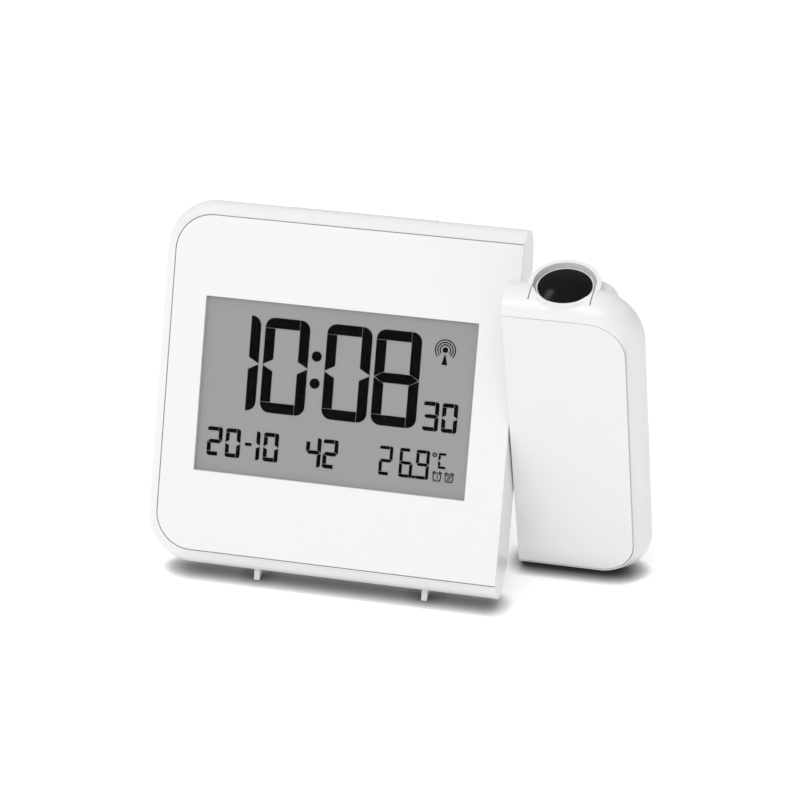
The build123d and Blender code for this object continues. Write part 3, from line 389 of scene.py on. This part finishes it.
def segment(letter, width, height, stroke, gap, round_off):
    """Outline of one segment, x right and y down from the figure's top left corner.

    The top and bottom bars start with a rounded outer corner and end short of the right upright,
    which has the other rounded corner.  Uprights end in a slanted tip at mid height, and the
    middle bar is a long hexagon.
    """
    mid, tip = height / 2, stroke * TIP
    if letter == "a":
        corner = arc(round_off, round_off, round_off, 180, 270, CORNER_POINTS)
        end = width - stroke - gap
        return np.concatenate([corner, [[end, 0], [end, stroke], [0, stroke]]])
    if letter == "b":
        corner = arc(width - round_off, round_off, round_off, 270, 360, CORNER_POINTS)
        return np.concatenate([[[width - stroke, 0]], corner,
                               [[width, mid - gap], [width - stroke, mid - gap - tip]]])
    if letter == "f":
        return np.array([[0, stroke + gap], [stroke, stroke + gap],
                         [stroke, mid - gap - tip], [0, mid - gap]])
    if letter == "g":
        half, inset = stroke * HALF_BAR, stroke * POINT
        return np.array([[2 * gap, mid], [inset, mid - half], [width - inset, mid - half],
                         [width - 2 * gap, mid], [width - inset, mid + half],
                         [inset, mid + half]])
    mirror = {"d": "a", "c": "b", "e": "f"}[letter]
    return segment(mirror, width, height, stroke, gap, round_off) * [1, -1] + [0, height]


def figure(text, left, top, width, height, stroke, gap, round_off, pitch=0.0):
    """Outlines of a row of figures, each moved right by the pitch."""
    outlines = []
    for place, symbol in enumerate(text):
        for letter in DIGITS[symbol]:
            shape = segment(letter, width, height, stroke, gap, round_off)
            x = left + place * pitch + shape[:, 0]
            outlines.append(np.stack([x, top - shape[:, 1]], 1))
    return outlines


INK_DEPTHS = (1.11, 1.17)


def ink(name, outlines):
    """Dark display elements, just in front of the display glass."""
    return inlay(name, SLAB, outlines, INK_DEPTHS, lcd_ink, "clock")


BIG = dict(top=20.1, width=13.7, height=28.25, stroke=3.07, gap=0.12, round_off=2.9)
HOUR_MINUTE = (("1", -90.65), ("0", -75.6), ("0", -56.65), ("8", -41.65))
COLON_X, COLON_LEVELS, COLON_DOT = -59.35, (10.0, 1.95), 1.53
ink("lcd_time", [shape for symbol, left in HOUR_MINUTE for shape in figure(symbol, left, **BIG)]
    + [disc(COLON_X, level, COLON_DOT) for level in COLON_LEVELS])

LOWER_TOP = -14.05
SMALL = dict(height=8.6, stroke=1.16, gap=0.13, round_off=0.75)
LOWER = dict(top=LOWER_TOP, width=4.6, **SMALL)
ink("lcd_seconds", figure("30", -25.9, top=0.4, width=4.65, pitch=5.65, **SMALL))
ink("lcd_date", figure("20", -90.9, pitch=5.65, **LOWER) + [bar(-78.2, -18.2, 2.0, 0.9)]
    + figure("1", -79.2, **LOWER) + figure("0", -73.5, **LOWER))
ink("lcd_week", figure("42", -60.4, pitch=5.2, **LOWER))

THIN = dict(top=LOWER_TOP, width=4.0, height=8.6, stroke=0.92, gap=0.12, round_off=0.6)
TEMPERATURE = (("2", -38.0), ("6", -31.9), ("9", -26.9))
ink("lcd_temperature",
    [shape for symbol, left in TEMPERATURE for shape in figure(symbol, left, **THIN)]
    + [disc(-27.4, -22.25, 0.5, 16), band(-21.45, -15.0, 0.52, 0.34, 0, FULL_TURN)]
    + figure("C", -20.25, top=-14.3, width=3.0, height=4.6, stroke=0.66, gap=0.1,
             round_off=0.45))

MAST_TOP = np.array([-20.85, 15.85])
MAST = MAST_TOP + [[0.1, -1.3], [-0.1, -1.3], [-0.85, -4.35], [0.85, -4.35]]
WAVES = [band(*MAST_TOP, radius, 0.3, -42, 222, 40) for radius in (1.55, 2.27, 3.0)]
ink("lcd_signal", [*WAVES, disc(*MAST_TOP, 0.8), MAST])


def alarm_sign(cx, cy, number):
    """Small alarm clock: a ring, two bell arcs on top, two feet and a figure inside."""
    shapes = [band(cx, cy, 1.2, 0.27, 0, FULL_TURN, 40)]
    for side, lean in ((-1, 128), (1, 52)):
        shapes.append(band(cx, cy, 1.68, 0.42, lean - 17, lean + 17, 8))
        foot = arc(cx, cy, 1.3, 270 + side * 34, 270 + side * 46, 2)
        out = arc(cx, cy, 1.75, 270 + side * 36, 270 + side * 42, 2)
        shapes.append(np.concatenate([foot, out[::-1]]))
    inset = 0.7 if number == "1" else 0.48
    return shapes + figure(number, cx - inset, top=cy + 0.72, width=0.96, height=1.44,
                           stroke=0.26, gap=0.02, round_off=0.12)


ALARMS_UP = -21.45
ink("lcd_alarms", alarm_sign(-20.3, ALARMS_UP, "1") + alarm_sign(-16.65, ALARMS_UP, "2"))

# ---------------------------------------------------------------- button signs
BUTTONS_FROM, BUTTON_STEP, BUTTONS_UP, BUTTON_FACE = -87.0, 12.0, 31.0, 16.1
SIGN_DEPTHS = (BUTTON_FACE - 0.05, BUTTON_FACE + 0.03)

BELL = np.concatenate([[[-1.35, -0.85], [1.35, -0.85], [0.95, -0.35]],
                       arc(0.0, 0.45, 0.95, 0, 180, 14), [[-0.95, -0.35]]])
SIGNS = {
    "alarm_button": [BELL, disc(0.0, -1.25, 0.28, 14)],
    "set_button": [bar(0.0, level, 2.5, 0.42) for level in (-0.95, 0.0, 0.95)],
    "plus_button": [np.array([[-0.22, 1.35], [-0.22, 0.22], [-1.35, 0.22], [-1.35, -0.22],
                              [-0.22, -0.22], [-0.22, -1.35], [0.22, -1.35], [0.22, -0.22],
                              [1.35, -0.22], [1.35, 0.22], [0.22, 0.22], [0.22, 1.35]])],
    "minus_button": [bar(0.0, 0.0, 2.7, 0.44)],
    "signal_button": [disc(0.0, -0.9, 0.36, 16)]
    + [band(0.0, -0.9, radius, 0.32, 48, 132, 16) for radius in (1.0, 1.65, 2.3)],
    "projection_button": [disc(1.25, 0.0, 0.42, 16),
                          np.array([[0.55, 0.2], [-1.5, 1.25], [-1.5, -1.25], [0.55, -0.2]])],
}
for place, (button, shapes) in enumerate(SIGNS.items()):
    middle = [BUTTONS_FROM + place * BUTTON_STEP, BUTTONS_UP]
    inlay(button + "_sign", SLAB, [shape + middle for shape in shapes], SIGN_DEPTHS, print_grey,
          button + "_key")

# ---------------------------------------------------------------- battery bay
CELLS = {"left": 10.6, "right": 21.5}
CELL_DEPTH = 8.0
SPRING = dict(low=-44.2, high=-41.95, wide=3.65, narrow=2.1, turns=3.5, wire=0.27)
COIL_STEPS, WIRE_SIDES = 30, 10  # steps in a turn, corners round the wire
# (radius, height) along each turned piece's outline
CAP = [(4.5, 1.95), (4.62, 2.03), (2.05, 2.04), (1.94, 2.1), (1.94, 2.84), (1.8, 2.93),
       (0.4, 2.94)]
BASE = [(4.6, -41.55), (4.6, -41.62), (0.4, -41.63)]
BAND = [(5.22, -8.5), (5.27, -8.5), (5.27, 0.6), (5.22, 0.6)]


def swept(name, rings, material, body, loop=False):
    """Surface through closed rings of points: end rings capped, or joined when loop is set.

    Faces are turned round where six times the enclosed volume, the sum over each face's fan of
    corner . (next x after next), comes out negative.
    """
    index = np.arange(rings.size // 3).reshape(rings.shape[:2])
    here = index if loop else index[:-1]
    after = np.roll(index, -1, axis=0) if loop else index[1:]
    quads = np.stack([here, np.roll(here, 1, axis=1), np.roll(after, 1, axis=1), after], -1)
    faces = list(quads.reshape(-1, 4))
    if not loop:
        faces += [index[0], index[-1][::-1]]
    points = rings.reshape(-1, 3)
    volume = sum(np.sum(points[face[0]] * np.cross(points[face[1:-1]], points[face[2:]]))
                 for face in faces)
    if volume < 0:
        faces = [face[::-1] for face in faces]
    faces = [face.tolist() for face in faces]
    return make_piece(name, points, faces, material, body, smooth=True)


def turned(x, depth, profile, around=40):
    """Rings of a turned piece about an upright axis: one circle for each (radius, height)."""
    angle = np.linspace(0, 2 * pi, around, endpoint=False)
    return np.stack([on_half(ARM, x + radius * np.cos(angle), depth + radius * np.sin(angle),
                             height) for radius, height in profile])


def coil(x, depth, low, high, wide, narrow, turns, wire):
    """Rings of a conical spring: a wire circle carried along a helix of falling radius.

    Wire centre at share t: radius wide + (narrow - wide) t at angle 2 pi turns t, height from
    low to high, with flattened ends (height share 3 t^2 - 2 t^3).
    """
    share = np.linspace(0, 1, int(turns * COIL_STEPS))
    around = np.linspace(0, 2 * pi, WIRE_SIDES, endpoint=False)
    angle = (2 * pi * turns * share)[:, None]
    radius = (wide + (narrow - wide) * share)[:, None] + wire * np.cos(around)
    height = (low + (high - low) * (3 * share ** 2 - 2 * share ** 3))[:, None]
    return on_half(ARM, x + radius * np.cos(angle), depth + radius * np.sin(angle),
                   height + wire * np.sin(around))


for side, x in CELLS.items():
    spring = swept("contact_spring_" + side, coil(x, CELL_DEPTH, **SPRING), contact_nickel,
                   "arm")
    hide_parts("contact_springs")
    swept("cell_cap_" + side, turned(x, CELL_DEPTH, CAP), cell_steel, "arm")
    swept("cell_base_" + side, turned(x, CELL_DEPTH, BASE), cell_steel, "arm")
    swept("cell_band_" + side, turned(x, CELL_DEPTH, BAND), cell_band, "arm",
          loop=True)

# ---------------------------------------------------------------- stage
FLOOR_HALF = 6.0
# painted contact shade on the floor: occlusion reach in metres, its power and the darkest tone
SHADE_REACH, SHADE_POWER, SHADE_TONE = 0.006, 2.6, 0.03
PAPER_TONE, PAPER_GLOW = 0.84, 0.33


def floor_paper():
    """White, faintly glowing paper with painted contact shade, darkened by a power of the occlusion
    close to what it bears.
    """
    material = bpy.data.materials.new("floor_white")
    material.use_nodes = True
    tree = material.node_tree
    shader = tree.nodes["Principled BSDF"]
    shader.inputs["Roughness"].default_value = 0.9
    shader.inputs["Specular IOR Level"].default_value = 0.0
    shader.inputs["Emission Strength"].default_value = PAPER_GLOW
    # painted shade: occlusion close to the clock darkens the floor's colour and glow
    painted_shade_ao = add(tree, "ShaderNodeAmbientOcclusion", {"Distance": SHADE_REACH}, samples=16)
    steep = add(tree, "ShaderNodeMath", {1: SHADE_POWER}, operation="POWER")
    tone = add(tree, "ShaderNodeMix",
               {6: (SHADE_TONE,) * 3 + (1,), 7: (PAPER_TONE,) * 3 + (1,)}, data_type="RGBA")
    link = tree.links.new
    link(painted_shade_ao.outputs["AO"], steep.inputs[0])
    link(steep.outputs[0], tone.inputs["Factor"])
    link(tone.outputs[2], shader.inputs["Base Color"])
    link(tone.outputs[2], shader.inputs["Emission Color"])
    return material


floor_mesh = bpy.data.meshes.new("studio_floor")
floor_mesh.from_pydata([(-FLOOR_HALF, -FLOOR_HALF, 0), (FLOOR_HALF, -FLOOR_HALF, 0),
                        (FLOOR_HALF, FLOOR_HALF, 0), (-FLOOR_HALF, FLOOR_HALF, 0)],
                       [], [(0, 1, 2, 3)])
floor_mesh.materials.append(floor_paper())
studio_floor = bpy.data.objects.new("studio_floor", floor_mesh)
bpy.context.scene.collection.objects.link(studio_floor)

LIGHTS_AIM = (0.0, 0.0, 0.05)


def soft_box(name, place, width, height, watts):
    """Rectangular area light at a place, looking at the middle of the clock."""
    data = bpy.data.lights.new(name, "AREA")
    data.shape, data.size, data.size_y = "RECTANGLE", width, height
    data.energy = watts
    lamp = bpy.data.objects.new(name, data)
    away = np.array(place) - np.array(LIGHTS_AIM)
    away = away / np.linalg.norm(away)
    side = np.cross((0, 0, 1), away)
    side /= np.linalg.norm(side)
    turn = np.stack([side, np.cross(away, side), away], 1)
    lamp.matrix_world = Matrix.Translation(place) @ Matrix(turn.tolist()).to_4x4()
    bpy.context.scene.collection.objects.link(lamp)


soft_box("glint_box", (-0.41, 0.14, 0.95), width=0.30, height=0.16, watts=1.8)
soft_box("key_box", (-0.05, -0.85, 1.15), width=1.5, height=1.1, watts=8.2)

# white surround, brighter in front of the clock and a little to its left than behind it
SURROUND_TILT, SURROUND_LOW, SURROUND_HIGH = (-0.20, -0.60, 0.10), 0.36, 0.98
world = bpy.data.worlds.new("studio")
bpy.context.scene.world = world
world.use_nodes = True
surround = world.node_tree
background = surround.nodes["Background"]
background.inputs["Color"].default_value = (1, 1, 1, 1)
sight = add(surround, "ShaderNodeTexCoord")
slant = add(surround, "ShaderNodeVectorMath", {1: SURROUND_TILT}, operation="DOT_PRODUCT")
levels = add(surround, "ShaderNodeMapRange", {"From Min": -1.0, "From Max": 1.0,
                                              "To Min": SURROUND_LOW, "To Max": SURROUND_HIGH})
surround.links.new(sight.outputs["Generated"], slant.inputs[0])
surround.links.new(slant.outputs["Value"], levels.inputs["Value"])
surround.links.new(levels.outputs[0], background.inputs["Strength"])

# ---------------------------------------------------------------- camera
# place in the slab's millimetres; rows are the camera's right, up and back in the slab's axes
CAMERA_PLACE = (185.7, -905.5, 108.6)
CAMERA_AXES = np.array([[0.9666, 0.2431, 0.0809],
                        [-0.1062, 0.0931, 0.9899],
                        [0.2331, -0.9655, 0.1157]])
FOCAL_LENGTH, SENSOR_WIDTH = 144.56, 36.0
camera_data = bpy.data.cameras.new("camera")
camera_data.lens, camera_data.sensor_width = FOCAL_LENGTH, SENSOR_WIDTH
camera_data.clip_start, camera_data.clip_end = 0.05, 50.0
camera = bpy.data.objects.new("camera", camera_data)
turn = Matrix((CAMERA_AXES @ SLAB).T.tolist()).to_quaternion().normalized().to_matrix()
camera.matrix_world = Matrix.Translation(on_half(SLAB, *CAMERA_PLACE).tolist()) @ turn.to_4x4()
bpy.context.scene.collection.objects.link(camera)

scene = bpy.context.scene
scene.camera = camera
scene.view_settings.view_transform = "Standard"
scene.view_settings.look = "None"
